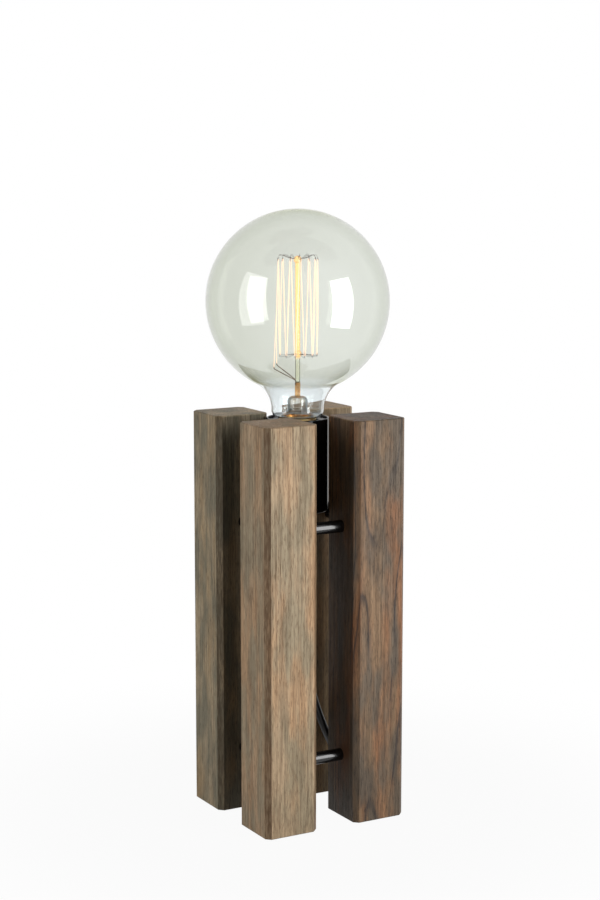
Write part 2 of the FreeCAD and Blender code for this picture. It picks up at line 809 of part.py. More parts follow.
# Two screws go up through bosses in the base into the cover.
switch_screws = []
for x, y in ((-8.3, -13.6), (8.3, 13.6)):
    boss_low = cylinder(2.7, 0.4, switch_split, x, y)
    boss_high = cylinder(2.7, switch_split + 0.05, switch_height - 1.0, x, y)
    switch_base = switch_base.fuse(boss_low).cut(cylinder(1.6, -1, switch_split, x, y))
    switch_base = switch_base.cut(cylinder(2.4, -1, 2.6, x, y))
    switch_cover = switch_cover.fuse(boss_high)
    switch_cover = switch_cover.cut(cylinder(1.3, switch_split, switch_height - 3.4, x, y))
    screw = cylinder(1.25, 2.2, switch_height - 4.0, x, y).fuse(cylinder(2.2, 0.9, 2.5, x, y))
    switch_screws.append(screw.removeSplitter())
parts["switch_base"] = switch_base.removeSplitter()
parts["switch_cover"] = switch_cover.removeSplitter()
parts["switch_screws"] = compound(switch_screws)
for name in (
    "switch_base",
    "switch_cover",
    "switch_rocker",
    "switch_contacts",
    "switch_bridge",
    "switch_screws",
    "rocker_pin",
):
    parts[name].translate(switch_centre)


# ---- coil ----
def biarc(start, start_heading, end, end_heading):
    """Two arcs that leave start along its heading, meet smoothly and arrive along end's heading."""
    across = end - start
    total = start_heading + end_heading
    square = total.dot(total) - 4
    if abs(square) < 1e-9:
        reach = across.dot(across) / (2 * across.dot(total))
    else:
        linear = -2 * across.dot(total)
        root = math.sqrt(linear**2 - 4 * square * across.dot(across))
        reach = max((-linear - root) / (2 * square), (-linear + root) / (2 * square))
    first_corner = start + start_heading * reach
    second_corner = end - end_heading * reach
    joint = (first_corner + second_corner) * 0.5
    joint_heading = (second_corner - first_corner).normalize()
    return [
        arc_from(start, start_heading, joint),
        arc_from(joint, joint_heading, end),
    ]


def arc_from(start, heading, end):
    """The arc that leaves start along a heading and ends at a point."""
    chord = end - start
    sideways = (chord - heading * chord.dot(heading)).normalize()
    radius = chord.dot(chord) / (2 * chord.dot(sideways))
    centre = start + sideways * radius
    outwards = (start + chord * 0.5 - centre).normalize()
    return Part.Arc(start, centre + outwards * radius, end).toShape()


def coil_nodes():
    """Points and headings at every quarter turn: inwards on the lower layer, up in the half turn
    where the spiral reverses, and outwards on the upper layer."""
    quarter_pitch = coil_turn_pitch / 4
    spots = []
    for quarter in range(coil_quarters_in, -1, -1):
        spots.append((coil_inner_radius + quarter * quarter_pitch, 0.0))
    spots.append((coil_inner_radius, coil_layer_rise / 2))
    for quarter in range(coil_quarters_out + 1):
        spots.append((coil_inner_radius + quarter * quarter_pitch, coil_layer_rise))
    nodes = []
    for step, (radius, height) in enumerate(spots):
        angle = coil_start_angle + 90.0 * step
        place = coil_centre + around(radius, angle, height)
        heading = around(1.0, angle + 90.0, 0.0)
        if height == coil_layer_rise / 2:
            climb = coil_layer_rise / (math.pi * coil_inner_radius)
            heading = (heading + UP * climb).normalize()
        nodes.append((place, heading))
    return nodes


coil_spots = coil_nodes()
coil_edges = []
end_run = 2 * cord_radius
coil_first, coil_first_heading = coil_spots[0]
coil_last, coil_last_heading = coil_spots[-1]
coil_entry = coil_first - coil_first_heading * end_run
coil_leave = coil_last + coil_last_heading * end_run
coil_edges.append(Part.makeLine(coil_entry, coil_first))
for (start, start_heading), (end, end_heading) in zip(coil_spots, coil_spots[1:]):
    coil_edges += biarc(start, start_heading, end, end_heading)
coil_edges.append(Part.makeLine(coil_last, coil_leave))
coil_path = Part.Wire(coil_edges)
parts["cord_coil"] = swept(coil_path, cord_radius)


def least_gap(path, radius, spacing):
    """The least clear distance between points of a path more than a third of a turn apart."""
    points = path.discretize(Distance=spacing)
    apart = int(2 * coil_inner_radius / spacing)
    nearest = 1e9
    for index, point in enumerate(points):
        for other in points[index + apart :]:
            nearest = min(nearest, point.distanceToPoint(other))
    return nearest - 2 * radius


coil_section = math.pi * cord_radius**2
print("cord_coil: %.1f mm long" % coil_path.Length)
print(
    "cord_coil: volume over section times length %.4f"
    % (parts["cord_coil"].Volume / (coil_section * coil_path.Length))
)
print("cord_coil: least gap to itself %.2f mm" % least_gap(coil_path, cord_radius, 1.5))

# ---- free stretches of the cord ----
switch_front = switch_centre + Vector(0, -switch_length / 2, cord_height)
switch_rear = switch_centre + Vector(0, switch_length / 2, cord_height)
plug_heading_angle = 90.0
plug_entry = Vector(47.3, 98.5, 19.0)
lamp_cord_points = [
    Vector(0, 0, cord_exit_height),
    Vector(0, 0, 154),
    Vector(0.4, -0.6, 137),
    Vector(2.0, -2.4, 118),
    Vector(5.0, -5.0, 98),
    Vector(9.3, -7.0, 79),
    Vector(15.6, -7.8, 61),
    Vector(24.2, -7.8, 43),
    Vector(36.2, -7.9, 24.5),
    Vector(49.8, -7.6, 11.8),
    Vector(61.9, -5.6, 5.6),
    Vector(72.8, 1.0, 3.2),
    Vector(80.5, 11.3, 3.6),
    Vector(84.0, 23.4, 5.1),
    switch_front,
]
switch_cord_points = [
    switch_rear,
    Vector(84.0, 111.6, 5.1),
    Vector(80.9, 123.3, 4.6),
    Vector(74.1, 133.3, 3.5),
    Vector(64.4, 140.6, 2.8),
    Vector(53.1, 144.8, 2.7),
    Vector(41.1, 146.5, 2.7),
    coil_entry,
]
plug_cord_points = [
    coil_leave,
    Vector(-14.75, 93.1, 9.3),
    Vector(-12.5, 81.1, 9.3),
    Vector(-5.8, 70.9, 9.7),
    Vector(4.3, 64.1, 10.9),
    Vector(16.3, 61.6, 12.9),
    Vector(28.2, 64.0, 15.1),
    Vector(38.3, 70.9, 17.1),
    Vector(45.0, 81.1, 18.5),
    Vector(47.3, 92.5, 19.0),
    plug_entry,
]
parts["lamp_cord"] = cord_tube("lamp_cord", lamp_cord_points)
parts["switch_cord"] = cord_tube("switch_cord", switch_cord_points)
parts["plug_cord"] = cord_tube("plug_cord", plug_cord_points)

# ---- plug ----
plug_relief_length = 20.0
plug_body_length = 33.0
plug_half_width = 17.6
plug_half_thickness = 6.85
plug_neck_half_width = 7.5


def plug_section(x, half_width, half_thickness, corner):
    """A rounded rectangle across the plug, at a distance along it."""
    points = []
    for y_side, z_side in ((-1, -1), (1, -1), (1, 1), (-1, 1)):
        points.append((y_side, z_side))
    edges = []
    bend = corner * (1 - math.sqrt(0.5))
    for (y_side, z_side), (next_y, next_z) in zip(points, points[1:] + points[:1]):
        corner_y = y_side * half_width
        corner_z = z_side * half_thickness
        if z_side == next_z:
            start = Vector(x, corner_y - y_side * corner, corner_z)
            end = Vector(x, next_y * half_width - next_y * corner, corner_z)
        else:
            start = Vector(x, corner_y, corner_z - z_side * corner)
            end = Vector(x, corner_y, next_z * half_thickness - next_z * corner)
        edges.append(Part.makeLine(start, end))
        turn_y = next_y * half_width
        turn_z = next_z * half_thickness
        middle = Vector(x, turn_y - next_y * bend, turn_z - next_z * bend)
        if z_side == next_z:
            after = Vector(x, turn_y, turn_z - next_z * corner)
        else:
            after = Vector(x, turn_y - next_y * corner, turn_z)
        edges.append(Part.Arc(end, middle, after).toShape())
    return Part.Wire(edges)


plug_body = Part.makeLoft(
    [
        plug_section(plug_relief_length, plug_neck_half_width, plug_half_thickness - 0.8, 3.0),
        plug_section(plug_relief_length + 12, plug_neck_half_width + 1.5, plug_half_thickness, 3.0),
        plug_section(plug_relief_length + 20, plug_half_width, plug_half_thickness, 3.0),
        plug_section(
            plug_relief_length + plug_body_length, plug_half_width, plug_half_thickness, 3.0
        ),
    ],
    True,
    True,
)
plug_face = plug_relief_length + plug_body_length
plug_pins = []
for y in (-plug_pin_spacing / 2, plug_pin_spacing / 2):
    root_start = Vector(plug_face - plug_pin_root_length, y, 0)
    root = Part.makeCylinder(plug_pin_root_radius, plug_pin_root_length, root_start, ACROSS)
    seat = Part.makeCylinder(plug_pin_root_radius, plug_pin_root_length + 1, root_start, ACROSS)
    plug_body = plug_body.cut(seat)
    pin = Part.makeCylinder(plug_pin_radius, plug_pin_length, Vector(plug_face, y, 0), ACROSS)
    tip = [edge for edge in pin.Edges if edge.BoundBox.XMin > plug_face + plug_pin_length - 0.1]
    plug_pins.append(pin.makeFillet(1.2, tip).fuse(root).removeSplitter())
parts["plug_body"] = plug_body
parts["plug_pins"] = compound(plug_pins)
relief = Part.makeCone(3.4, 5.0, plug_relief_length, Vector(0, 0, 0), ACROSS)
for groove in range(4):
    x = 3.5 + 4.2 * groove
    ring = Part.makeCylinder(6.0, 1.6, Vector(x, 0, 0), ACROSS)
    core = Part.makeCylinder(3.1 + 0.32 * groove, 1.6, Vector(x, 0, 0), ACROSS)
    relief = relief.cut(ring.cut(core))
parts["plug_relief"] = relief
for name in ("plug_body", "plug_pins", "plug_relief"):
    parts[name].rotate(Vector(0, 0, 0), UP, plug_heading_angle)
    parts[name].translate(plug_entry)


# ---- files ----
os.makedirs("parts", exist_ok=True)
for name, shape in parts.items():
    shape.exportStep("parts/" + name + ".step")
print("%d parts" % len(parts))
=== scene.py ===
import math

import bmesh
import bpy
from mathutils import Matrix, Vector


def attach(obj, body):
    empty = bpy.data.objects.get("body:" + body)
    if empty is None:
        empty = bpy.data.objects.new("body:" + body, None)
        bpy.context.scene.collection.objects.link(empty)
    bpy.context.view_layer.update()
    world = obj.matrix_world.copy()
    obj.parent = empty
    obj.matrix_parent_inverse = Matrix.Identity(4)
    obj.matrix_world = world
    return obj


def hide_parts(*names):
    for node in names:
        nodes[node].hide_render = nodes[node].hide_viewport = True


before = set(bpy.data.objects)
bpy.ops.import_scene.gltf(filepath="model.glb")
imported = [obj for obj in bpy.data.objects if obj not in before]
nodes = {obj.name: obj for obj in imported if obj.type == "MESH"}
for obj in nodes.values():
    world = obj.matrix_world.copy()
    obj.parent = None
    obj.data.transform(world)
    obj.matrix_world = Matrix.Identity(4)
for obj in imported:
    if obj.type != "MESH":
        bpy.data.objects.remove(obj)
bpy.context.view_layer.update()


# ---- Oak posts ----
# Four square posts of oak, sawn out of different planks, planed, chamfered along their upright
# edges and finished with a thin grey-brown oil. Their inward faces and chamfers carry painted
# shade. Blind holes hold the ends of the rods.
def tone(red, green, blue):
    """A colour as a screen shows it, 0 to 255, as the linear values that a shader takes."""
    linear = []
    for part in (red / 255, green / 255, blue / 255):
        linear.append(part / 12.92 if part < 0.04 else ((part + 0.055) / 1.055) ** 2.4)
    return (*linear, 1.0)


def add(tree, kind, feeds=None, **settings):
    """A shader node, where feeds holds plain values or the outputs that lead into its inputs."""
    made = tree.nodes.new("ShaderNode" + kind)
    for name, value in settings.items():
        setattr(made, name, value)
    for name, value in (feeds or {}).items():
        if isinstance(value, bpy.types.NodeSocket):
            tree.links.new(value, made.inputs[name])
        else:
            made.inputs[name].default_value = value
    return made


def sum_of(tree, operation, *values):
    """The output of a Math node."""
    return add(tree, "Math", dict(enumerate(values)), operation=operation).outputs[0]


def between(tree, share, first, second, blend="MIX"):
    """The colour output of a Mix node, from first at a share of 0 to second at 1."""
    made = add(tree, "Mix", data_type="RGBA", blend_type=blend)
    for socket, value in ((made.inputs[0], share), (made.inputs[6], first), (made.inputs[7], second)):
        if isinstance(value, bpy.types.NodeSocket):
            tree.links.new(value, socket)
        else:
            socket.default_value = value
    return made.outputs[2]


def ramp(tree, value, *stops):
    """A value that goes smoothly through (place, height) stops."""
    made = add(tree, "ValToRGB", {"Fac": value})
    line = made.color_ramp
    line.interpolation = "EASE"
    while len(line.elements) < len(stops):
        line.elements.new(0.5)
    for element, (place, height) in zip(line.elements, stops):
        element.position = place
        element.color = (height, height, height, 1.0)
    return made.outputs["Color"]


def place_in(tree):
    """The place of a point in its own object, in metres."""
    return add(tree, "TexCoord").outputs["Object"]


def height_in(tree, place):
    """The height of a place."""
    return add(tree, "SeparateXYZ", {0: place}).outputs["Z"]


def stretched_noise(tree, place, seed, across, along, detail, roughness=0.5):
    """The outputs of noise whose grains are across metres wide and along metres tall."""
    grains = (1 / across, 1 / across, 1 / along)
    squeezed = add(tree, "VectorMath", {0: place, 1: grains}, operation="MULTIPLY").outputs[0]
    feeds = {"Vector": squeezed, "W": seed, "Scale": 1.0, "Detail": detail, "Roughness": roughness}
    return add(tree, "TexNoise", feeds, noise_dimensions="4D").outputs


def effect(name, takes):
    """A node group with named inputs that gives a colour, a roughness and a height of relief."""
    tree = bpy.data.node_groups.new(name, "ShaderNodeTree")
    for label, value in takes.items():
        kind = "Float"
        if hasattr(value, "__len__"):
            kind = "Color" if len(value) == 4 else "Vector"
        socket = tree.interface.new_socket(label, in_out="INPUT", socket_type="NodeSocket" + kind)
        socket.default_value = value
    for label, kind in {"Colour": "Color", "Roughness": "Float", "Height": "Float"}.items():
        tree.interface.new_socket(label, in_out="OUTPUT", socket_type="NodeSocket" + kind)
    inner = tree.nodes.new("NodeGroupInput")
    outer = tree.nodes.new("NodeGroupOutput")
    return tree, inner.outputs, outer.inputs


def give(tree, gives, colour, roughness, height):
    """Leads a group's results to its outputs."""
    for label, result in (("Colour", colour), ("Roughness", roughness), ("Height", height)):
        tree.links.new(result, gives[label])


def oak_figure():
    """Growth rings round a leaning pith, fibres, pores, end grain, and painted shade on the chamfers and
    inner faces.
    """
    tree, takes, gives = effect(
        "oak_figure",
        {
            "Light": tone(176, 153, 124),
            "Warm": tone(176, 140, 104),
            "Grey": tone(150, 134, 110),
            "Dark": tone(92, 72, 54),
            "Pith": (0.0, 0.0, 0.0),
            "Lean": (0.0, 0.0, 0.0),
            "Ring width": 0.003,
            "Ring depth": 0.5,
            "Painted chamfer shade": 0.5,
            "Painted inner shade": 0.0,
            "Seed": 0.0,
        },
    )
    place = place_in(tree)
    seed = takes["Seed"]

    height = height_in(tree, place)
    leaning = add(tree, "VectorMath", {0: takes["Lean"], "Scale": height}, operation="SCALE")
    pith = add(tree, "VectorMath", {0: takes["Pith"], 1: leaning.outputs[0]}, operation="ADD")
    out = add(tree, "VectorMath", {0: place, 1: pith.outputs[0]}, operation="SUBTRACT").outputs[0]
    wave_reach = 0.022
    wave = stretched_noise(tree, place, seed, across=0.030, along=0.160, detail=1.5)["Color"]
    wave = add(tree, "VectorMath", {0: wave, 1: (0.5, 0.5, 0.5)}, operation="SUBTRACT")
    wave = add(tree, "VectorMath", {0: wave.outputs[0], "Scale": wave_reach}, operation="SCALE")
    waved = add(tree, "VectorMath", {0: out, 1: wave.outputs[0]}, operation="ADD")
    flat = add(tree, "VectorMath", {0: waved.outputs[0], 1: (1, 1, 0)}, operation="MULTIPLY")
    reach = add(tree, "VectorMath", {0: flat.outputs[0]}, operation="LENGTH").outputs["Value"]
    turns = sum_of(tree, "DIVIDE", reach, takes["Ring width"])
    early_to_late = ((0.0, 0.25), (0.08, 1.0), (0.26, 0.3), (0.7, 0.0), (1.0, 0.25))
    ring = ramp(tree, sum_of(tree, "FRACT", turns), *early_to_late)
    loud = stretched_noise(tree, place, seed, across=0.016, along=0.080, detail=2.0)[0]
    loud = ramp(tree, loud, (0.40, 0.10), (0.60, 1.0))
    ring = sum_of(tree, "MULTIPLY", ring, loud)

    cloud = stretched_noise(tree, place, seed, across=0.011, along=0.042, detail=4.0)[0]
    cloud = ramp(tree, cloud, (0.38, 0.0), (0.62, 1.0))
    heart = stretched_noise(tree, out, seed, across=0.013, along=0.150, detail=3.0)[0]
    heart = ramp(tree, heart, (0.40, 0.0), (0.62, 1.0))
    fibre = stretched_noise(tree, place, seed, across=0.0016, along=0.045, detail=5.0, roughness=0.70)[0]
    fibre = ramp(tree, fibre, (0.36, 0.0), (0.64, 1.0))
    pore = stretched_noise(tree, place, seed, across=0.0006, along=0.0060, detail=3.0, roughness=0.60)[0]
    pore = ramp(tree, pore, (0.51, 0.0), (0.62, 1.0))

    colour = between(tree, heart, takes["Light"], takes["Warm"])
    colour = between(tree, cloud, colour, takes["Grey"])
    strong_ring = sum_of(tree, "MULTIPLY", ring, takes["Ring depth"])
    colour = between(tree, strong_ring, colour, takes["Dark"])
    shade = between(tree, fibre, (0.68, 0.66, 0.64, 1), (1.16, 1.16, 1.16, 1))
    colour = between(tree, 1.0, colour, shade, "MULTIPLY")
    pitted = sum_of(tree, "MULTIPLY", pore, sum_of(tree, "MULTIPLY_ADD", ring, 0.30, 0.42))
    colour = between(tree, pitted, colour, takes["Dark"])

    normal = add(tree, "NewGeometry").outputs["Normal"]
    # Painted shade: faces that look back towards the lamp's axis, between the posts, are darkened towards
    # black.
    painted_inner_shade = add(tree, "VectorMath", {0: normal, 1: place}, operation="DOT_PRODUCT").outputs["Value"]
    painted_inner_shade = sum_of(tree, "MULTIPLY", sum_of(tree, "LESS_THAN", painted_inner_shade, 0.0), takes["Painted inner shade"])
    facing = add(tree, "SeparateXYZ", {0: normal}).outputs
    # Painted shade: chamfer faces, which look out on a slant, are darkened towards the dark tone, broken
    # up by fine flecks.
    painted_chamfer_shade = sum_of(tree, "ABSOLUTE", sum_of(tree, "MULTIPLY", facing["X"], facing["Y"]))
    painted_chamfer_shade = ramp(tree, painted_chamfer_shade, (0.1, 0.0), (0.4, 1.0))
    fleck = stretched_noise(tree, place, seed, across=0.0012, along=0.0080, detail=3.0)[0]
    fleck = ramp(tree, fleck, (0.36, 0.62), (0.64, 1.08))
    painted_chamfer_shade = sum_of(tree, "MULTIPLY", sum_of(tree, "MULTIPLY", painted_chamfer_shade, fleck), takes["Painted chamfer shade"])
    end = ramp(tree, sum_of(tree, "ABSOLUTE", facing["Z"]), (0.5, 0.0), (0.9, 1.0))
    colour = between(tree, painted_chamfer_shade, colour, takes["Dark"])
    colour = between(tree, painted_inner_shade, colour, (0.0, 0.0, 0.0, 1.0))
    colour = between(tree, sum_of(tree, "MULTIPLY", end, 0.5), colour, takes["Dark"])

    rough = sum_of(tree, "MULTIPLY_ADD", fibre, -0.10, 0.62)
    rough = sum_of(tree, "MULTIPLY_ADD", pitted, 0.25, rough)
    relief = sum_of(tree, "MULTIPLY_ADD", fibre, 0.35, 0.6)
    relief = sum_of(tree, "MULTIPLY_ADD", pitted, -0.8, relief)
    give(tree, gives, colour, rough, relief)
    return tree


def finish(name, **plain):
    """A new material, its node tree and its shader, with the plain values set on the shader."""
    material = bpy.data.materials.new(name)
    material.use_nodes = True
    tree = material.node_tree
    tree.nodes.clear()
    shader = add(tree, "BsdfPrincipled", {key.replace("_", " "): value for key, value in plain.items()})
    output = add(tree, "OutputMaterial")
    tree.links.new(shader.outputs[0], output.inputs["Surface"])
    return material, tree, shader


def clad(name, group, values, bump=0.0003, strength=0.5, **plain):
    """A new material whose colour, roughness and relief come out of a group with these values."""
    material, tree, shader = finish(name, **plain)
    made = add(tree, "Group")
    made.node_tree = group
    for label, value in values.items():
        made.inputs[label].default_value = value
    relief = add(tree, "Bump", {"Height": made.outputs["Height"], "Distance": bump, "Strength": strength})
    tree.links.new(made.outputs["Colour"], shader.inputs["Base Color"])
    tree.links.new(made.outputs["Roughness"], shader.inputs["Roughness"])
    tree.links.new(relief.outputs[0], shader.inputs["Normal"])
    return material


def wear(material, *names):
    """Gives a material to CAD nodes or pieces."""
    for name in names:
        thing = nodes[name] if isinstance(name, str) else name
        thing.data.materials.clear()
        thing.data.materials.append(material)


oak = oak_figure()
# Each post's shares of painted inner shade and painted chamfer shade set how far its inward faces and its
# chamfers are darkened as shade.
posts = {
    "front": {
        "Light": tone(190, 164, 132), "Warm": tone(191, 155, 118), "Grey": tone(160, 144, 117),
        "Dark": tone(88, 64, 42), "Pith": (0.110, -0.050, 0.0), "Lean": (0.02, 0.01, 0.0),
        "Ring width": 0.0042, "Ring depth": 0.25, "Painted chamfer shade": 0.80, "Painted inner shade": 0.2,
        "Seed": 1.3,
    },
    "right": {
        "Light": tone(143, 115, 86), "Warm": tone(149, 104, 70), "Grey": tone(104, 90, 74),
        "Dark": tone(44, 39, 38), "Pith": (0.030, 0.010, 0.0), "Lean": (0.012, -0.022, 0.0),
        "Ring width": 0.0048, "Ring depth": 0.80, "Painted chamfer shade": 0.10, "Painted inner shade": 0.5,
        "Seed": 7.7,
    },
    "back": {
        "Light": tone(200, 171, 130), "Warm": tone(196, 157, 112), "Grey": tone(172, 150, 117),
        "Dark": tone(76, 56, 40), "Pith": (0.100, 0.120, 0.0), "Lean": (0.01, 0.02, 0.0),
        "Ring width": 0.0038, "Ring depth": 0.35, "Painted chamfer shade": 0.45, "Painted inner shade": 0.5,
        "Seed": 12.1,
    },
    "left": {
        "Light": tone(182, 163, 132), "Warm": tone(176, 149, 110), "Grey": tone(128, 120, 98),
        "Dark": tone(72, 60, 43), "Pith": (0.020, 0.080, 0.0), "Lean": (-0.03, 0.03, 0.0),
        "Ring width": 0.0040, "Ring depth": 0.38, "Painted chamfer shade": 0.80, "Painted inner shade": 0.5,
        "Seed": 4.9,
    },
}
for side, values in posts.items():
    wear(clad(side + "_oak", oak, values, IOR=1.45, Specular_IOR_Level=0.35), side + "_post")


# ---- Felt pads ----
# A round pad of pressed wool felt, glued under each post so that it stands without scratching.
def noise(tree, place, scale, detail, **more):
    """Even noise, with any more of the noise node's inputs by name."""
    feeds = {"Vector": place, "Scale": scale, "Detail": detail, **more}
    return add(tree, "TexNoise", feeds).outputs[0]


def felt_fibres():
    """Matted short fibres."""
    tree, takes, gives = effect("felt_fibres", {"Colour": tone(60, 54, 48), "Lighter": tone(96, 88, 78)})
    mat = noise(tree, place_in(tree), scale=2600.0, detail=5.0, Distortion=1.6)
    mat = ramp(tree, mat, (0.35, 0.0), (0.7, 1.0))
    colour = between(tree, mat, takes["Colour"], takes["Lighter"])
    rough = sum_of(tree, "MULTIPLY_ADD", mat, 0.08, 0.9)
    give(tree, gives, colour, rough, mat)
    return tree


felt = clad("felt", felt_fibres(), {}, Sheen_Weight=0.3)
wear(felt, *(side + "_felt_pad" for side in posts))


# ---- Rods ----
# Eight short rods of round steel bar, powder coated in satin black and driven into the posts
# at two heights, so that they hold the four posts apart.
def coat_skin():
    """A smooth skin, such as paint or moulded plastic, with a fine ripple and a little dust."""
    tree, takes, gives = effect(
        "coat_skin",
        {
            "Colour": tone(20, 20, 21),
            "Dust": tone(60, 60, 62),
            "Dust share": 0.12,
            "Roughness": 0.3,
            "Grain": 0.0006,
        },
    )
    place = place_in(tree)
    ripple = noise(tree, place, scale=sum_of(tree, "DIVIDE", 1.0, takes["Grain"]), detail=3.0)
    cloud = noise(tree, place, scale=90.0, detail=6.0, Roughness=0.65)
    cloud = ramp(tree, cloud, (0.45, 0.0), (0.75, 1.0))
    dusty = sum_of(tree, "MULTIPLY", cloud, takes["Dust share"])
    colour = between(tree, dusty, takes["Colour"], takes["Dust"])
    rough = sum_of(tree, "MULTIPLY_ADD", cloud, 0.10, takes["Roughness"])
    give(tree, gives, colour, rough, ripple)
    return tree


skin = coat_skin()
satin_black = clad(
    "satin_black", skin, {"Roughness": 0.17, "Colour": tone(9, 9, 10), "Dust share": 0.06},
    bump=0.00001, strength=0.4, IOR=1.5, Specular_IOR_Level=0.6,
)
wear(satin_black, *(level + side + "_rod" for level in ("lower_", "upper_") for side in posts))


# ---- Strap and its screws ----
# A flat steel strap, black as the rods, lies across two upper rods. A slotted zinc plated
# screw at each end goes down into a tapped hole in the rod.
def plated_metal():
    """Bare or plated metal with fine turning marks and patches that have dulled."""
    tree, takes, gives = effect(
        "plated_metal",
        {
            "Colour": tone(190, 192, 196),
            "Dulled": tone(140, 140, 142),
            "Roughness": 0.28,
            "Seed": 0.0,
        },
    )
    place = place_in(tree)
    marks = stretched_noise(tree, place, takes["Seed"], across=0.006, along=0.00012, detail=2.0)[0]
    patch = noise(tree, place, scale=240.0, detail=5.0, Roughness=0.6)
    patch = ramp(tree, patch, (0.4, 0.0), (0.7, 1.0))
    colour = between(tree, patch, takes["Colour"], takes["Dulled"])
    rough = sum_of(tree, "MULTIPLY_ADD", patch, 0.18, takes["Roughness"])
    rough = sum_of(tree, "MULTIPLY_ADD", marks, 0.06, rough)
    give(tree, gives, colour, rough, marks)
    return tree


plated = plated_metal()
wear(satin_black, "holder_strap")
zinc = clad("zinc_plate", plated, {}, bump=0.00001, strength=0.4, Metallic=1.0)
wear(zinc, "strap_screws")


# ---- Threaded nipple and its nuts ----
# A hollow threaded steel tube that the cord runs through. One nut under the strap and one
# inside the lamp holder clamp strap, cup and holder together.
wear(zinc, "threaded_nipple", "strap_nut", "holder_nut")


# ---- Holder cup ----
# A deep drawn steel cup, stove enamelled in gloss black, that hides the lamp holder. Its edge
# is rolled over smooth.
gloss_black = clad(
    "gloss_black", skin,
    {"Roughness": 0.07, "Colour": tone(6, 6, 7), "Dust share": 0.03, "Grain": 0.0012},
    bump=0.000006, strength=0.3, IOR=1.4, Specular_IOR_Level=0.25,
)
wear(gloss_black, "holder_cup")


# ---- Lamp holder ----
# A black phenolic base and sleeve that screw together round a white ceramic block. The block
# carries the terminals, the threaded shell and the tongue that touches the bulb's end.
phenolic = clad(
    "black_phenolic", skin, {"Roughness": 0.22, "Colour": tone(18, 17, 17), "Grain": 0.0009},
    bump=0.00001, strength=0.4, IOR=1.5, Specular_IOR_Level=0.4,
)
wear(phenolic, "holder_base", "holder_sleeve")

ceramic = clad(
    "ceramic", skin,
    {"Roughness": 0.35, "Colour": tone(232, 228, 218), "Dust": tone(200, 192, 176), "Dust share": 0.5},
    bump=0.00003, strength=0.5, IOR=1.5,
)
wear(ceramic, "contact_block")

brass = clad(
    "brass", plated, {"Colour": tone(214, 178, 108), "Dulled": tone(160, 124, 70)},
    bump=0.00001, strength=0.4, Metallic=1.0,
)
wear(brass, "terminals", "screw_shell", "centre_contact")
wear(zinc, "terminal_screws")


# ---- Wires in the holder ----
# The jacket of the cord ends inside the nipple. Its two cores, brown and blue, go on to the
# terminals.
for name, colour in (("live_wire", tone(104, 62, 36)), ("neutral_wire", tone(38, 82, 150))):
    jacket = clad(
        name + "_jacket", skin, {"Roughness": 0.38, "Colour": colour, "Dust share": 0.05},
        bump=0.00001, strength=0.4, IOR=1.48,
    )
    wear(jacket, name)


# ---- Cord grip and relief ----
# A black nylon grip on the lower end of the nipple holds the cord with a side screw, and a
# tapered rubber sleeve below it keeps the cord from kinking.
nylon = clad(
    "black_nylon", skin, {"Roughness": 0.42, "Colour": tone(20, 20, 21)},
    bump=0.00003, strength=0.5, IOR=1.5,
)
wear(nylon, "cord_grip")
wear(zinc, "cord_grip_screw")
rubber = clad(
    "black_rubber", skin, {"Roughness": 0.55, "Colour": tone(24, 24, 25), "Grain": 0.0003},
    bump=0.00004, strength=0.5, IOR=1.5, Specular_IOR_Level=0.35,
)
wear(rubber, "cord_relief")


# ---- Cord from the lamp to the switch ----
# Black round two-core mains cord with a smooth jacket. It hangs from the relief, swings out
# between the right and the back post and runs along the table into the switch.
cord_diameter = 0.0054
lamp_cord_route = [
    (0, 0, 0.167), (0, 0, 0.154), (0.0004, -0.0006, 0.137), (0.002, -0.0024, 0.118),
    (0.005, -0.005, 0.098), (0.0093, -0.007, 0.079), (0.0156, -0.0078, 0.061),
    (0.0242, -0.0078, 0.043), (0.0362, -0.0079, 0.0245), (0.0498, -0.0076, 0.0118),
    (0.0619, -0.0056, 0.0056), (0.0728, 0.001, 0.0032), (0.0805, 0.0113, 0.0036),
    (0.084, 0.0234, 0.0051), (0.084, 0.033, 0.0051),
]


def add_object(name, data):
    """A new object in the scene."""
    made = bpy.data.objects.new(name, data)
    bpy.context.scene.collection.objects.link(made)
    return made


def drawn(name, runs, radius, roundness, steps, smooth=True):
    """A round wire along each run of points, drawn smoothly by them or straight from one to the next."""
    line = bpy.data.curves.new(name, "CURVE")
    line.dimensions = "3D"
    line.bevel_depth = radius
    line.bevel_resolution = roundness
    line.use_fill_caps = True
    for run in runs:
        spline = line.splines.new("NURBS" if smooth else "POLY")
        spline.points.add(len(run) - 1)
        for point, place in zip(spline.points, run):
            point.co = (*place, 1.0)
        if smooth:
            spline.order_u = 3
            spline.use_endpoint_u = True
            spline.resolution_u = steps
    return add_object(name, line)


def flex(name, route):
    """A length of cord along one smooth line, drawn by the route's points."""
    return drawn(name, [route], cord_diameter / 2, roundness=6, steps=10)


cord_jacket = clad(
    "cord_jacket", skin, {"Roughness": 0.33, "Colour": tone(14, 14, 15), "Grain": 0.0008},
    bump=0.00003, strength=0.4, IOR=1.48, Specular_IOR_Level=0.45,
)
wear(cord_jacket, "cord_tail")
lamp_flex = flex("lamp_flex", lamp_cord_route)
wear(cord_jacket, lamp_flex)
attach(lamp_flex, "lamp")
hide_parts("lamp_cord")


# ---- Bulb cap ----
# The screw cap of thin brass, rolled with the thread, with black glass at its end and a dome
# of solder as the end contact. It is cemented to the neck of the globe.
wear(brass, "bulb_cap")
vitrite = clad(
    "cap_glass", skin, {"Roughness": 0.12, "Colour": tone(14, 12, 16)},
    bump=0.00002, strength=0.4, IOR=1.55,
)
wear(vitrite, "cap_insulator")
solder = clad(
    "solder", plated, {"Colour": tone(176, 176, 174), "Dulled": tone(120, 120, 118), "Roughness": 0.4},
    Metallic=1.0,
)
wear(solder, "bulb_tip")


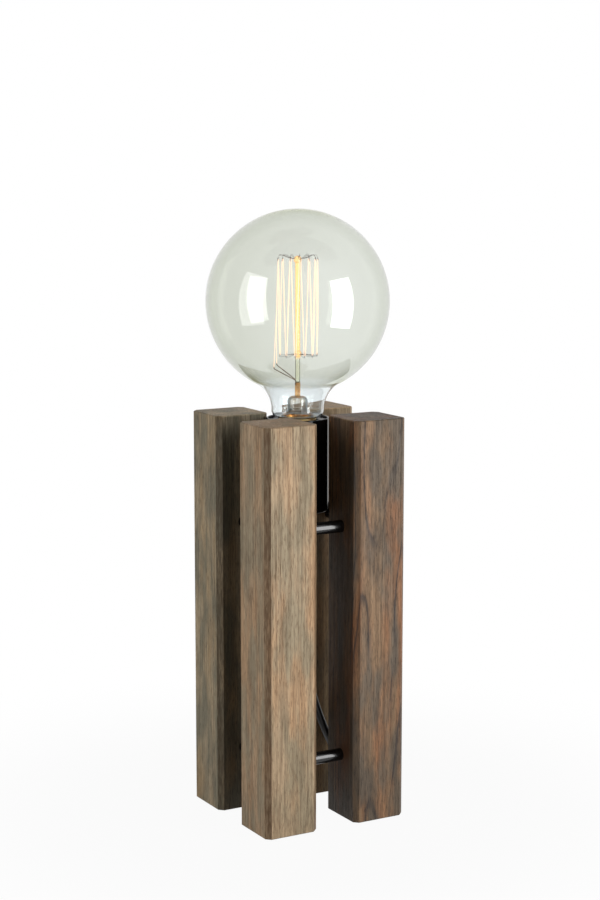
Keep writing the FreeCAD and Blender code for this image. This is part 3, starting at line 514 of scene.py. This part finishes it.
# ---- Globe ----
# The globe is blown from clear glass with a faint smoky tint, under a millimetre thick. The
# wall runs in one piece from the crown down the neck to the edge that is sealed into the cap.
glass_wall = 0.0008
globe_radius = 0.063
globe_height = 0.3589
neck_radius = 0.0184
neck_flare_radius = 0.020
neck_round_radius = 0.0056
neck_round_height = 0.2848
seal_radius = 0.0113
seal_bottom = 0.271
neck_joint_height = 0.3055
neck_joint_reach = 0.003
clear_neck_top = 0.31
same_point = 1e-7
# The direction of the globe's side that carries painted shade.
painted_shade_direction = (-0.87, 0.49, 0.0)


def arc(centre, radius, start, end, steps):
    """Points (radius, height) along an arc in the profile plane. Angles in degrees."""
    points = []
    for step in range(steps + 1):
        angle = math.radians(start + (end - start) * step / steps)
        points.append((centre[0] + radius * math.cos(angle), centre[1] + radius * math.sin(angle)))
    return points


def globe_outline(inset):
    """The line of the glass from the seal up to the crown, set in from the outside."""
    flare_out = neck_radius + neck_flare_radius
    flare_height = globe_height - math.sqrt((globe_radius + neck_flare_radius) ** 2 - flare_out**2)
    meet = math.degrees(math.atan2(flare_height - globe_height, flare_out))
    corner = neck_round_radius - inset
    corner_centre = (neck_radius - neck_round_radius, neck_round_height)
    line = [(seal_radius - inset, seal_bottom), (seal_radius - inset, neck_round_height - corner)]
    line += arc(corner_centre, corner, -90, 0, steps=12)
    line += arc((flare_out, flare_height), neck_flare_radius + inset, 180, 180 + meet, steps=16)
    line += arc((0, globe_height), globe_radius - inset, meet, 90, steps=72)[1:]
    return line


def turned(name, outline, facets=144):
    """A mesh piece turned about the lamp's axis from (radius, height) points."""
    made = bmesh.new()
    rings = []
    for radius, height in outline:
        if radius < same_point:
            rings.append([made.verts.new((0, 0, height))])
            continue
        ring = []
        for step in range(facets):
            angle = 2 * math.pi * step / facets
            ring.append(made.verts.new((radius * math.cos(angle), radius * math.sin(angle), height)))
        rings.append(ring)
    for low, high in zip(rings, rings[1:]):
        if len(low) == 1 and len(high) == 1:
            continue
        for step in range(facets):
            after = (step + 1) % facets
            corners = [low[step % len(low)], low[after % len(low)]]
            corners += [high[after % len(high)], high[step % len(high)]]
            made.faces.new(list(dict.fromkeys(corners)))
    bmesh.ops.recalc_face_normals(made, faces=made.faces)
    for face in made.faces:
        face.smooth = True
    mesh = bpy.data.meshes.new(name)
    made.to_mesh(mesh)
    made.free()
    return add_object(name, mesh)


def show_mix(tree, share, first, second):
    """Leads two shaders to the output, all first at a share of 0 and all second at 1."""
    mixed = add(tree, "MixShader", {0: share, 1: first.outputs[0], 2: second.outputs[0]})
    output = next(node for node in tree.nodes if node.type.startswith("OUTPUT"))
    tree.links.new(mixed.outputs[0], output.inputs["Surface"])


def let_lamps_through(tree, shader):
    """Rays to the lamps go through the glass, so that it throws no dark shadow."""
    shadow_ray = add(tree, "LightPath").outputs["Is Shadow Ray"]
    show_mix(tree, shadow_ray, shader, add(tree, "BsdfTransparent"))


def edge_on(tree):
    """0 where a surface faces the eye, rising to 1 where it is seen edge on."""
    return add(tree, "LayerWeight", {"Blend": 0.5}).outputs["Facing"]


globe_glass, tree, shader = finish("globe_glass", IOR=1.47, Transmission_Weight=1.0, Roughness=0.0)
facing = edge_on(tree)
edge = ramp(tree, facing, (0.0, 0.0), (0.4, 0.12), (0.72, 0.5), (0.96, 1.0))
sharp_edge = ramp(tree, facing, (0.6, 0.0), (0.95, 1.0))
place = place_in(tree)
height = height_in(tree, place)
# Painted shade: one side of the globe, the left as the camera sees it, is tinted a little darker, mottled
# by noise.
painted_shade_mottle = noise(tree, place, scale=22.0, detail=3.0)
painted_shade_side = add(tree, "VectorMath", {0: place, 1: painted_shade_direction}, operation="DOT_PRODUCT")
painted_shade_side = sum_of(tree, "MULTIPLY_ADD", painted_shade_side.outputs["Value"], 0.5 / globe_radius, 0.2)
painted_shade_side = ramp(tree, sum_of(tree, "MULTIPLY_ADD", painted_shade_mottle, 0.6, painted_shade_side), (0.1, 0.0), (0.9, 1.0))
tint_and_painted_shade = between(tree, painted_shade_side, tone(242, 244, 240), tone(234, 236, 230))
tint = between(tree, edge, tint_and_painted_shade, tone(184, 189, 172))
crown = sum_of(tree, "DIVIDE", height, globe_height + globe_radius)
crown = ramp(tree, crown, (0.975, 0.0), (0.998, 1.0))
joint = sum_of(tree, "ABSOLUTE", sum_of(tree, "SUBTRACT", height, neck_joint_height))
joint = ramp(tree, sum_of(tree, "MULTIPLY", joint, 1 / neck_joint_reach), (0.2, 1.0), (1.0, 0.0))
green = sum_of(tree, "MULTIPLY", sum_of(tree, "MAXIMUM", crown, joint), sharp_edge)
tint = between(tree, green, tint, tone(150, 160, 84))
above_neck = sum_of(tree, "DIVIDE", height, clear_neck_top)
above_neck = ramp(tree, above_neck, (0.970, 0.0), (0.982, 1.0))
tint = between(tree, above_neck, tone(246, 250, 251), tint)
tree.links.new(tint, shader.inputs["Base Color"])
let_lamps_through(tree, shader)

outer = globe_outline(0.0)
inner = globe_outline(glass_wall)
bottom = [inner[0]]
globe = turned("globe", bottom + outer + inner[::-1])
globe_seam = bmesh.new()
globe_seam.from_mesh(globe.data)
bmesh.ops.remove_doubles(globe_seam, verts=globe_seam.verts, dist=same_point)
bmesh.ops.recalc_face_normals(globe_seam, faces=globe_seam.faces)
globe_seam.to_mesh(globe.data)
globe_seam.free()
wear(globe_glass, globe)
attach(globe, "bulb")
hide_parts("bulb_glass")


# ---- Stem and glass rod ----
# Inside the neck a flared glass stem is pinched shut round the lead wires. A clear glass rod
# stands on the pinch, with a bead where each set of hooks is melted in.
stem_glass, tree, shader = finish("stem_glass", IOR=1.5, Transmission_Weight=1.0, Roughness=0.02)
stem_crown = 0.2946
place = place_in(tree)
height = height_in(tree, place)
streaks = stretched_noise(tree, place, 0.0, across=0.0012, along=0.012, detail=2.0)[0]
streaks = ramp(tree, streaks, (0.42, 0.0), (0.58, 1.0))
wall = ramp(tree, edge_on(tree), (0.28, 0.0), (0.50, 1.0))
clear = between(tree, streaks, tone(252, 252, 250), tone(222, 214, 202))
clear = between(tree, wall, clear, tone(92, 102, 104))
copper = between(tree, streaks, tone(238, 190, 128), tone(176, 116, 66))
flare = ramp(tree, sum_of(tree, "DIVIDE", height, stem_crown), (0.955, 1.0), (0.962, 0.0))
pinched = ramp(tree, sum_of(tree, "DIVIDE", height, stem_crown), (0.999, 0.0), (1.004, 1.0))
warm = sum_of(tree, "MAXIMUM", flare, pinched)
tree.links.new(between(tree, warm, clear, copper), shader.inputs["Base Color"])
let_lamps_through(tree, shader)
wear(stem_glass, "bulb_stem")

cage_top = 0.3873
cage_bottom = 0.323
lit_past_cage = 0.006
rod_glass, tree, shader = finish("rod_glass", IOR=1.5, Transmission_Weight=1.0, Roughness=0.03)
height = height_in(tree, place_in(tree))
# Painted glow: along the cage the clear rod is tinted warm and made to glow amber, as light from the
# filament falling on it.
glow = sum_of(tree, "SUBTRACT", height, cage_bottom - lit_past_cage)
glow = sum_of(tree, "DIVIDE", glow, cage_top - cage_bottom + 2 * lit_past_cage)
glow = ramp(tree, glow, (0.02, 0.0), (0.06, 1.0), (0.92, 1.0), (1.0, 0.6))
wall = ramp(tree, edge_on(tree), (0.10, 0.0), (0.40, 1.0))
plain_rod = between(tree, wall, tone(246, 246, 226), tone(92, 96, 78))
lit_rod = between(tree, wall, tone(255, 236, 176), tone(240, 184, 110))
tree.links.new(between(tree, glow, plain_rod, lit_rod), shader.inputs["Base Color"])
painted_glow_colour = between(tree, glow, (0, 0, 0, 1), tone(255, 186, 104))
tree.links.new(painted_glow_colour, shader.inputs["Emission Color"])
shader.inputs["Emission Strength"].default_value = 0.28
let_lamps_through(tree, shader)
wear(rod_glass, "glass_rod")


# ---- Hooks ----
# Fine molybdenum wires stand out of the two beads. Each ends in a small eyelet that holds one
# bend of the filament, thirteen above and twelve below.
cage_radius = 0.0136
cage_hooks = 13
lead_side = 150.4
bead_radius = 0.0027
hook_step = 360 / cage_hooks
top_angles = [lead_side + hook_step * (step + 0.5) for step in range(cage_hooks)]
bottom_angles = [lead_side + hook_step * (step + 1) for step in range(cage_hooks - 1)]


def around(radius, angle, height):
    """The point at a radius from the lamp's axis, with its angle in degrees from +X towards +Y."""
    turned_to = math.radians(angle)
    return Vector((radius * math.cos(turned_to), radius * math.sin(turned_to), height))


def wires(name, runs, radius, material, replaced, smooth=True):
    """Fine wires of the bulb, each drawn by its own points."""
    piece = drawn(name, runs, radius, roundness=3, steps=5, smooth=smooth)
    wear(material, piece)
    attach(piece, "bulb")
    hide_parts(*replaced)


molybdenum = clad(
    "hook_wire", plated, {"Colour": tone(128, 124, 122), "Dulled": tone(84, 80, 80)},
    bump=0.000005, strength=0.4, Metallic=1.0,
)


def hook_runs(angles, height, rise):
    """From inside the bead out in a shallow arc to an eyelet round the filament's bend."""
    runs = []
    lift = math.copysign(0.0011, rise)
    for angle in angles:
        runs.append(
            [
                around(bead_radius - 0.0008, angle, height + rise * 0.2),
                around(0.0060, angle, height + rise * 0.35),
                around(0.0100, angle, height + rise * 1.1),
                around(cage_radius - 0.0007, angle, height + rise * 1.2),
                around(cage_radius - 0.0003, angle, height + rise * 1.2 - lift),
                around(cage_radius + 0.0002, angle + 1.6, height - lift * 0.6),
                around(cage_radius + 0.0006, angle, height - lift * 0.1),
                around(cage_radius + 0.0004, angle - 1.6, height + lift * 0.9),
                around(cage_radius - 0.0002, angle, height + lift * 1.6),
            ]
        )
    return runs


hook_radius = 0.00014
top_runs = hook_runs(top_angles, cage_top, rise=0.0028)
low_runs = hook_runs(bottom_angles, cage_bottom, rise=-0.0012)
wires("top_hooks", top_runs, hook_radius, molybdenum, ["upper_hooks"])
wires("low_hooks", low_runs, hook_radius, molybdenum, ["lower_hooks"])


# ---- Filament ----
# One long drawn wire goes up and down between the hooks as a cage, and both its ends come
# down to the lead wires on one side. It glows a warm white.
filament_wire, tree, shader = finish("filament_wire", Roughness=0.6)
heat = noise(tree, place_in(tree), scale=90.0, detail=2.0)
glowing = between(tree, heat, tone(255, 228, 204), tone(255, 240, 222))
tree.links.new(glowing, shader.inputs["Emission Color"])
unlit = between(tree, heat, tone(150, 96, 60), tone(180, 120, 80))
tree.links.new(unlit, shader.inputs["Base Color"])
shader.inputs["Emission Strength"].default_value = 1.1

lead_spread = 8.0
first_reach = 0.0165
first_end_height = 0.3129
second_reach = 0.0146
second_end_height = 0.3150
clamped_end = 0.001
bend_half_width = 0.0005
strand_bow = 0.0005
bow_steps = 8
shortest_strand = 0.02
filament_radius = 0.00029
bend_swing = math.degrees(bend_half_width / cage_radius)


def bend(angle, height):
    """The two points where the filament goes round a hook."""
    return [around(cage_radius, angle + swing, height) for swing in (-bend_swing, bend_swing)]


strand = [around(first_reach, lead_side + lead_spread, first_end_height + clamped_end)]
for step, angle in enumerate(top_angles):
    strand += bend(angle, cage_top)
    if step < len(bottom_angles):
        strand += bend(bottom_angles[step], cage_bottom)
strand.append(around(second_reach, lead_side - lead_spread, second_end_height + clamped_end))
slack = []
for number, (start, end) in enumerate(zip(strand, strand[1:])):
    slack.append(start)
    if (end - start).length < shortest_strand:
        continue
    outward = Vector((start.x + end.x, start.y + end.y, 0)).normalized()
    for part in range(1, bow_steps):
        share = part / bow_steps
        bow = strand_bow * math.sin(math.pi * share) * (1.0 if number % 3 else -0.6)
        slack.append(start.lerp(end, share) + outward * bow)
slack.append(strand[-1])
wires("glow_wire", [slack], filament_radius, filament_wire, ["filament"], smooth=False)


# ---- Lead wires ----
# Two nickel wires come out of the pinch and reach out to one side, where each is clamped round
# one end of the filament.
lead_nickel = clad(
    "lead_nickel", plated, {"Colour": tone(120, 106, 90), "Dulled": tone(66, 56, 48)},
    bump=0.000008, strength=0.4, Metallic=1.0,
)
pinch_top = 0.3037
lead_radius = 0.00034
lead_root_out = 0.0013
lead_root_apart = 0.0023
for name, replaced, turn, lead_reach, lead_end_height in (
    ("first_reach", "first_lead", 1, first_reach, first_end_height),
    ("second_reach", "second_lead", -1, second_reach, second_end_height),
):
    root = around(lead_root_out, lead_side, 0) + around(lead_root_apart * turn, lead_side + 90, 0)
    run = [
        root + Vector((0, 0, pinch_top - 0.002)),
        root + Vector((0, 0, pinch_top + 0.0008)),
        root + around(0.0004, lead_side, pinch_top + 0.0014),
        around(lead_reach - 0.0003, lead_side + turn * lead_spread, lead_end_height - 0.0001),
        around(lead_reach, lead_side + turn * lead_spread, lead_end_height + 0.0012),
    ]
    wires(name, [run], lead_radius, lead_nickel, [replaced], smooth=False)


# ---- In-line switch ----
# A two-part moulded black housing, screwed together from below, with a rocker that tips on a
# steel pin. It breaks one of the two cores of the cord.
switch_black = clad(
    "switch_black", skin, {"Roughness": 0.36, "Colour": tone(22, 22, 23), "Grain": 0.0005},
    bump=0.00004, strength=0.5, IOR=1.5,
)
wear(switch_black, "switch_base", "switch_cover")
rocker_black = clad(
    "rocker_black", skin, {"Roughness": 0.22, "Colour": tone(30, 30, 31), "Grain": 0.0009},
    bump=0.00002, strength=0.4, IOR=1.5,
)
wear(rocker_black, "switch_rocker")
wear(zinc, "rocker_pin", "switch_screws")
wear(brass, "switch_contacts", "switch_bridge")


# ---- Cord from the switch to the plug ----
# The rest of the cord, put away behind the lamp: it winds inwards in three turns, climbs onto
# them and winds out again, and its end goes over the coil to the plug that lies on top.
switch_cord_route = [
    (0.084, 0.103, 0.0051), (0.084, 0.1116, 0.0051), (0.0809, 0.1233, 0.0046),
    (0.0741, 0.1333, 0.0035), (0.0644, 0.1406, 0.0028), (0.0531, 0.1448, 0.0027),
    (0.0411, 0.1465, 0.0027), (0.0314, 0.1465, 0.0027),
]
plug_cord_route = [
    (-0.01475, 0.0986, 0.0093), (-0.01475, 0.0931, 0.0093), (-0.0125, 0.0811, 0.0093),
    (-0.0058, 0.0709, 0.0097), (0.0043, 0.0641, 0.0109), (0.0163, 0.0616, 0.0129),
    (0.0282, 0.064, 0.0151), (0.0383, 0.0709, 0.0171), (0.045, 0.0811, 0.0185),
    (0.0473, 0.0925, 0.019), (0.0473, 0.0985, 0.019),
]
coil_centre = Vector((0.026, 0.104, 0.0027))
coil_inner_radius = 0.0215
coil_turn_pitch = 0.007
coil_layer_rise = 0.0066
turns_in = 3.0
turns_up = 0.5
turns_out = 2.75
points_per_turn = 12
spline_draw_in = 0.75 + 0.25 * math.cos(2 * math.pi / points_per_turn)
coil_route = []
for point in range(1, round((turns_in + turns_up + turns_out) * points_per_turn)):
    turned_by = point / points_per_turn
    inward = max(turns_in - turned_by, 0.0)
    outward = max(turned_by - turns_in - turns_up, 0.0)
    climbed = min(max((turned_by - turns_in) / turns_up, 0.0), 1.0)
    radius = (coil_inner_radius + (inward + outward) * coil_turn_pitch) / spline_draw_in
    place = coil_centre + around(radius, 90 + 360 * turned_by, climbed * coil_layer_rise)
    coil_route.append(tuple(place))
plug_flex = flex("plug_flex", switch_cord_route[:-1] + coil_route + plug_cord_route[1:])
wear(cord_jacket, plug_flex)
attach(plug_flex, "lamp")
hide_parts("switch_cord", "cord_coil", "plug_cord")


# ---- Plug ----
# A flat two-pin plug, moulded onto the cord with a grooved relief. The pins are nickel plated
# brass.
wear(rubber, "plug_relief")
wear(switch_black, "plug_body")
nickel = clad(
    "nickel", plated, {"Colour": tone(206, 202, 192), "Dulled": tone(168, 162, 150), "Roughness": 0.2},
    Metallic=1.0,
)
wear(nickel, "plug_pins")


# ---- Studio ----
# The lamp stands on a white table in front of white, between two tall softboxes. A third one
# behind it lights the backs of the posts, and isn't seen itself, in a mirror or through glass.
def seen_directly(tree):
    """1 where the camera sees a surface, also in a mirror or through glass."""
    path = add(tree, "LightPath").outputs
    seen = sum_of(tree, "MAXIMUM", path["Is Camera Ray"], path["Is Glossy Ray"])
    return sum_of(tree, "MAXIMUM", seen, path["Is Transmission Ray"])


table_radius = 0.55
table_mesh = bmesh.new()
bmesh.ops.create_circle(table_mesh, cap_ends=True, segments=96, radius=table_radius)
table_data = bpy.data.meshes.new("table")
table_mesh.to_mesh(table_data)
table_mesh.free()
table = add_object("table", table_data)
table_white, tree, shader = finish(
    "table_white", Roughness=0.9, Base_Color=(0.32, 0.32, 0.32, 1), Specular_IOR_Level=0.1
)
bright = add(tree, "Emission", {"Color": (1, 1, 1, 1), "Strength": 1.0})
far = add(tree, "VectorMath", {0: place_in(tree)}, operation="LENGTH").outputs["Value"]
far = ramp(tree, sum_of(tree, "DIVIDE", far, table_radius), (0.2, 0.95), (0.7, 1.0))
show_mix(tree, sum_of(tree, "MULTIPLY", far, seen_directly(tree)), shader, bright)
wear(table_white, table)

world = bpy.data.worlds.new("studio")
bpy.context.scene.world = world
world.use_nodes = True
tree = world.node_tree
tree.nodes.clear()
room = add(tree, "Background", {"Color": (1, 1, 1, 1), "Strength": 0.05})
white = add(tree, "Background", {"Color": (1, 1, 1, 1), "Strength": 1.0})
add(tree, "OutputWorld")
show_mix(tree, seen_directly(tree), room, white)


def softbox(name, bearing, distance, height, width, tall, power):
    """A tall area lamp that faces the lamp's axis, from a bearing in degrees from +X towards +Y."""
    data = bpy.data.lights.new(name, "AREA")
    data.shape = "RECTANGLE"
    data.size = width
    data.size_y = tall
    data.energy = power
    box = add_object(name, data)
    box.location = around(distance, bearing, height)
    towards = Vector((0, 0, height)) - box.location
    box.rotation_mode = "QUATERNION"
    box.rotation_quaternion = towards.to_track_quat("-Z", "Y")
    return box


softbox("left_softbox", bearing=181.4, distance=1.1, height=0.46, width=0.67, tall=1.14, power=5.8)
softbox("right_softbox", bearing=297.4, distance=1.1, height=0.36, width=0.57, tall=1.09, power=13.5)
back_fill = softbox("back_fill", bearing=60.0, distance=1.2, height=0.55, width=0.9, tall=1.2, power=9.0)
back_fill.visible_camera = False
back_fill.visible_glossy = False
back_fill.visible_transmission = False

azimuth = math.radians(-29.6)
elevation = math.radians(8.56)
camera_distance = 1.345
aim = Vector((0, 0, 0.2563))
back = Vector(
    (
        math.sin(azimuth) * math.cos(elevation),
        -math.cos(azimuth) * math.cos(elevation),
        math.sin(elevation),
    )
)
lens = bpy.data.cameras.new("camera")
lens.sensor_width = 36.0
lens.lens = 77.9
lens.shift_x = 0.0026
lens.clip_start = 0.01
lens.clip_end = 50.0
camera = add_object("camera", lens)
camera.location = aim + back * camera_distance
camera.rotation_mode = "QUATERNION"
camera.rotation_quaternion = (-back).to_track_quat("-Z", "Y")
bpy.context.scene.camera = camera
bpy.context.scene.view_settings.view_transform = "Standard"
